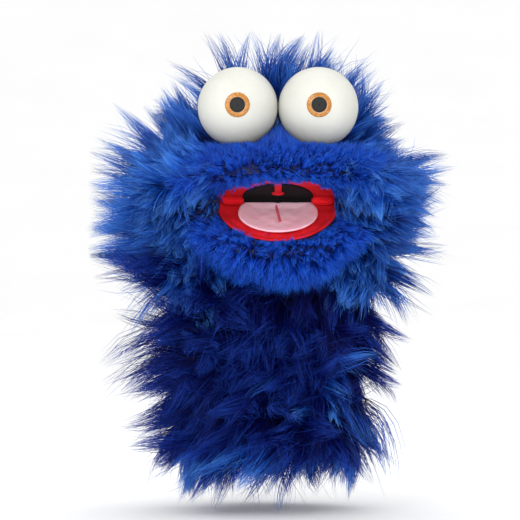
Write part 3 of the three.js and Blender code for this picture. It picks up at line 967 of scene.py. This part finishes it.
def loose_wisps():
    """Single light hairs that lie across the locks of the sleeve: their lighter tone is painted highlight on
    stray hairs.
    """
    rng = fresh()
    roots, normals = scatter(sleeve_skin, 3000, lambda p, n: out_of_arm(p, n) * (p[:, 1] < 10), rng)
    heading = unit(hanging(roots, normals) + rng.normal(0, 0.25, (len(roots), 3)))
    settings = dict(LONG, lock=9, wisp=3, curl=2.4, turns=0.7, sway=0.8, spread=0.5, width=0.36)
    locks = strands("sleeve_wisps", roots, heading, sleeve_length(roots) * 0.95, rng, "deep_fur", "long_fur",
                    tone=sleeve_shade_and_hem_tone(roots) + 0.16, **settings)
    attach(locks, "sleeve")


swirl_locks()
stray_locks()
loose_wisps()

for zone, low, high, body_a, body_b, start, end in ZONES:
    skin = neck_skins[zone]
    locks = sleeve_locks(zone.replace("cloth", "locks"), skin, 4200, out_of_arm)
    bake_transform(locks)
    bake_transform(skin)

# The fur cloth between the front of the neck and the chin.
THROAT = [(115, 57.5, 48.6), (123, 55, 47), (133, 50, 43), (147, 46, 37)]
throat = tube("throat_cloth", THROAT, 1.0, "fur_backing", 12,
              keep=lambda cells: cells[..., 1] < -8)


def throat_locks():
    rng = fresh()
    roots, normals = scatter(throat, 3600, lambda p, n: n[:, 1] * p[:, 1] > 0, rng)
    heading = unit(normals * 0.5 + DOWN * 0.9 + TO_ONE_SIDE * 0.3)
    # The throat's locks take the painted-shade fur, a little darker still, for the shade under the chin.
    return strands("throat_locks", roots, heading, 24, rng, "deep_fur", "long_fur", tone=-0.05, **LONG)


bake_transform(throat_locks())
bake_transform(throat)
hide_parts("neck_fabric_lower")
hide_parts("neck_fabric_upper")
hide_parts("throat_fabric")


# ---- felt in the mouth ----
def half_oval(half_width, depth, rows=28, columns=72):
    """Rays from the middle of the fold out to the rim, in the lip's own frame, flat at z = 0."""
    angles = np.linspace(math.pi, 2 * math.pi, columns)
    rim = np.stack([half_width * np.cos(angles), LIP_BACK + (depth + LIP_BACK) * np.sin(angles)], -1)
    middle = np.array([0, LIP_BACK])
    share = np.linspace(0, 1, rows)[:, None, None]
    flat = middle + share * (rim - middle)
    return flat, np.broadcast_to(share[..., 0], flat.shape[:2])


def felt(name, flat, share, level, thickness, lift, look, angle, phase, wrap=False):
    """A felt piece whose faces are a little uneven. level is its lower face over the fold plane."""
    x, y = flat[..., 0], flat[..., 1]
    broad = 0.12 * np.sin(x * 0.55 + phase) * np.cos(y * 0.48 + 2 * phase)
    uneven = broad + 0.07 * np.sin(x * 1.7 + y * 1.3)
    fade = 1 - smoothstep(0.97, 1, share)
    raised = lift(x, y, share)
    top = np.stack([x, y, level + thickness + raised + uneven * fade], -1)
    bottom = np.stack([x, y, level + raised - 0.05 + 0 * x], -1)
    return shell(name, lip_to_world(top, angle), lip_to_world(bottom, angle), look, wrap=wrap)


LIP_OVAL = (LIP_HALF + FELT_RIM, LIP_DEPTH + FELT_RIM)
flat, share = half_oval(*LIP_OVAL)
upper_lining = felt("upper_lining_felt", flat, share, 2.8, 1.2,
                    lambda x, y, s: -2.2 * smoothstep(0.86, 1, s), "red", UPPER_RISE, 1)
stand_in(upper_lining, "head", "upper_mouth_lining")
lower_lining = felt("lower_lining_felt", flat, share, -4.0, 1.2,
                    lambda x, y, s: 3.4 * smoothstep(0.84, 1, s), "red", LOWER_DROP, 2)
stand_in(lower_lining, "jaw", "lower_mouth_lining")
flat, share = half_oval(PATCH_HALF, PATCH_DEPTH)
patch = felt("throat_patch_felt", flat, share, 1.7, 0.8,
             lambda x, y, s: 0 * x, "black", UPPER_RISE, 3)
stand_in(patch, "head", "throat_patch")


def fold_felt(name, half_width, level, ends, look):
    """Felt that goes round the fold from one lip to the other, in front of the hinge tape."""
    x = np.linspace(-half_width, half_width, 61)
    rows = []
    for turn in np.linspace(0, 1, 13):
        top = lip_to_world(np.stack([x, ends + 0 * x, level + 0 * x], -1), UPPER_RISE)
        low = lip_to_world(np.stack([x, ends + 0 * x, -level + 0 * x], -1), LOWER_DROP)
        bulge = np.array([0, math.sin(turn * math.pi) * (level + 0.6), 0])
        rows.append(top * (1 - turn) + low * turn + bulge)
    front = np.array(rows)
    piece = shell(name, front, front + np.array([0, 0.9, 0]), look)
    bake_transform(piece)


fold_felt("mouth_fold_felt", 41, 3.3, -1.5, "red")
fold_felt("throat_fold_felt", 24, 2.0, -2.6, "black")


def tongue_oval(rows=24, columns=96):
    """A full oval from its middle out, cut straight at the back."""
    angles = circle(columns)
    y = np.minimum(TONGUE_MIDDLE + (TONGUE_FRONT + TONGUE_MIDDLE) * np.sin(angles), TONGUE_BACK)
    rim = np.stack([TONGUE_HALF * np.cos(angles), y], -1)
    share = np.linspace(0, 1, rows)[:, None, None]
    middle = np.array([0, TONGUE_MIDDLE])
    flat = middle + share * (rim - middle)
    return flat, np.broadcast_to(share[..., 0], flat.shape[:2])


def tongue_lift(x, y, share):
    """Cupped along the stitched line, with its edge curled up a little."""
    crease = -0.5 * np.exp(-((x / 1.4) ** 2)) * smoothstep(-36, -32, y)
    return 0.3 + 1.6 * smoothstep(0.5, 1, share) + crease


flat, share = tongue_oval()
tongue = felt("tongue_felt", flat, share, -2.5, 0.9,
              tongue_lift, "pink", LOWER_DROP, 4, wrap=True)
stand_in(tongue, "jaw", "tongue")


def thread_piece(name, line, radius, look, body, node, sides=10):
    """A round thread along a line of points in the world frame."""
    points = np.array(line)
    tangent = unit(np.gradient(points, axis=0))
    across = unit(np.cross(tangent, np.array([1.0, 0.05, 0.02])))
    other = np.cross(tangent, across)
    angles = circle(sides)[None, :, None]
    r = (radius * np.ones(len(points)))[:, None, None]
    rings = points[:, None] + r * (across[:, None] * np.cos(angles) + other[:, None] * np.sin(angles))
    faces = ring_faces(len(points), sides) + end_faces(len(points), sides)
    thing = new_object(name, rings.reshape(-1, 3), faces, look)
    stand_in(thing, body, node)
    return thing


def stitch_line():
    """Satin stitches laid close together, with a shallow dip between them."""
    y = np.linspace(-4, -33, 117)
    dip = np.abs(np.sin((y + 4) / 29 * 24 * math.pi)) ** 0.5
    local = np.stack([-0.1 * (y + 18), y, -1.35 + 0.1 * dip], -1)
    return lip_to_world(local, LOWER_DROP), 0.8 + 0.16 * dip


line, radius = stitch_line()
stitch = thread_piece("tongue_stitches", line, radius, "thread", "jaw", "tongue_stitch")


def uvula_piece():
    """A strip of felt with a round end."""
    y = np.linspace(-50, -15.9, 60)
    bob = np.sqrt(np.clip(4.3**2 - (y + 20) ** 2, 0, None))
    wide = np.maximum(bob, np.where(y < -20, 2.4, 0))
    cross = np.linspace(-1, 1, 17)
    x = wide[:, None] * cross[None, :]
    yy = np.broadcast_to(y[:, None], x.shape)
    lift = 0.35 * (1 - cross[None, :] ** 2) * np.ones_like(x)
    top = lip_to_world(np.stack([x, yy, 1.5 + 0 * x], -1), UPPER_RISE)
    bottom = lip_to_world(np.stack([x, yy, 0.6 - lift], -1), UPPER_RISE)
    return shell("uvula_felt", top, bottom, "red")


uvula = uvula_piece()
stand_in(uvula, "head", "uvula")


# ---- eyes ----
EYE_WALL = 1.6
# inner and outer radius and dome height of each disc
DISCS = {"iris": (5.3, 8.6, 0.75), "pupil": (0.05, 5.2, 0.95)}


def eye_ball(word):
    """A smooth moulded ball with a fine parting line, open at the back where its post goes in."""
    centre, radius = EYES[word]
    polar = np.linspace(0.004, math.pi - 0.115, 96)
    around = circle(128)
    p, a = np.meshgrid(polar, around, indexing="ij")
    local = np.stack([np.sin(p) * np.cos(a), np.sin(p) * np.sin(a), np.cos(p)], -1)
    groove = 0.12 * np.exp(-(((p - math.radians(96)) / 0.012) ** 2))
    side = -1 if word == "left" else 1
    aim = np.array([side * 16, -8, 196]) - centre
    turn = np.array(Vector((0, 0, -1)).rotation_difference(Vector(aim)).to_matrix())
    outer = centre + ((radius - groove)[..., None] * local) @ turn.T
    inner = centre + ((radius - EYE_WALL) * local) @ turn.T
    thing = shell(f"eye_shell_{word}", outer, inner, "eye", wrap=True)
    stand_in(thing, "head", f"eye_ball_{word}")


def eye_disc(word, kind, low, high, dome):
    """A thin domed disc or ring that follows the ball's front."""
    centre, radius = EYES[word]
    around = circle(96)
    r, a = np.meshgrid(np.linspace(low, high, 20), around, indexing="ij")

    def level(distance):
        x, y, z = centre
        return np.stack([x + r * np.cos(a), y - np.sqrt(distance**2 - r**2), z + r * np.sin(a)], -1)

    edge = np.sqrt(np.clip(1 - ((r - (low + high) / 2) / ((high - low) / 2 + 0.02)) ** 8, 0.02, 1))
    outer = level(radius + 0.1 + dome * edge)
    inner = level(radius + 0.1 + 0 * r)
    thing = shell(f"{kind}_disc_{word}", outer, inner, kind, wrap=True)
    stand_in(thing, "head", f"{kind}_{word}")


for word in EYES:
    eye_ball(word)
    for kind, sizes in DISCS.items():
        eye_disc(word, kind, *sizes)

# ---- linings, foam and hidden parts ----
lining = tube("sleeve_lining_cloth", [(0, 56, 46), (58, 52, 42.6)], 1.0, "lining", 24)
stand_in(lining, "sleeve", "sleeve_lining")
binding = tube("hem_binding_cloth", [(0, 54.4, 44.4), (8, 53.8, 43.9)], 1.3, "binding", 8)
stand_in(binding, "sleeve", "hem_binding")

foam_outer = dome_grid(-0.5, bottom=HEAD_BOTTOM + 1)
foam = shell("head_foam_shell", foam_outer, dome_grid(-10, bottom=HEAD_BOTTOM + 1), "foam", wrap=True,
             keep=open_face(foam_outer))
stand_in(foam, "head", "head_foam")

KEPT = {
    "upper_mouth_board": "board",
    "lower_mouth_board": "board",
    "mouth_hinge_tape": "tape",
    "finger_pocket": "lining",
    "thumb_pocket": "lining",
}
for word in EYES:
    KEPT[f"eye_post_{word}"] = "post"
    KEPT[f"eye_lock_washer_{word}"] = "post"
for node, look in KEPT.items():
    mesh = frame["nodes"][node].data
    mesh.materials.clear()
    mesh.materials.append(LOOKS[look])

for side, cut in (("upper", upper_lining), ("lower", lower_lining)):
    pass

# ---- floor, backdrop and light ----
def stage_sheet():
    """A wide pale floor that rises slowly far from the object, all round."""
    level, height, flat_reach, full_reach, sides = -0.0525, 1.8, 2.5, 8, 64
    reach = [0, 0.5, 1, 1.7, flat_reach, 3.4, 4.4, 5.5, 6.7, full_reach]
    rise = [level + height * max(0, (r - flat_reach) / (full_reach - flat_reach)) ** 2 for r in reach]
    around = circle(sides)
    points = [(r * math.cos(a), r * math.sin(a), z) for r, z in zip(reach, rise) for a in around]
    mesh = bpy.data.meshes.new("floor")
    mesh.from_pydata(points, [], ring_faces(len(reach), sides))
    work = bmesh.new()
    work.from_mesh(mesh)
    bmesh.ops.remove_doubles(work, verts=work.verts, dist=1e-4)
    work.to_mesh(mesh)
    work.free()
    mesh.polygons.foreach_set("use_smooth", [True] * len(mesh.polygons))
    m = Nodes("pale_floor")
    m.set("Base Color", m.ramp(m.noise(3), [(0.3, (0.94, 0.94, 0.94)), (0.7, (0.96, 0.96, 0.96))]))
    m.set("Roughness", 0.9)
    mesh.materials.append(m.material)
    add_object("floor", mesh)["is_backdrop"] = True


stage_sheet()


def area_light(name, place, size, power):
    data = bpy.data.lights.new(name, "AREA")
    data.size = size
    data.energy = power
    light = add_object(name, data)
    light.location = place
    light.rotation_euler = (Vector(LIGHTS_AIM) - Vector(place)).to_track_quat("-Z", "Y").to_euler()


LIGHTS_AIM = (0, 0, 0.13)
area_light("key", (-0.8, -1.6, 0.9), 0.8, 8)
area_light("fill", (0.15, -2.1, 0.08), 0.6, 31)
area_light("top", (0.1, 0.6, 1.6), 1.0, 5)
world = bpy.data.worlds.new("studio")
world.use_nodes = True
background = world.node_tree.nodes["Background"].inputs
background["Color"].default_value = (1, 1, 1, 1)
background["Strength"].default_value = 1.03
SCENE.world = world
SCENE.view_settings.view_transform = "Standard"

sizes = {
    "cad": [list(map(float, corner)) for corner in CAD_BOX],
    "visual": [list(map(float, corner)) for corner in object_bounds()],
}
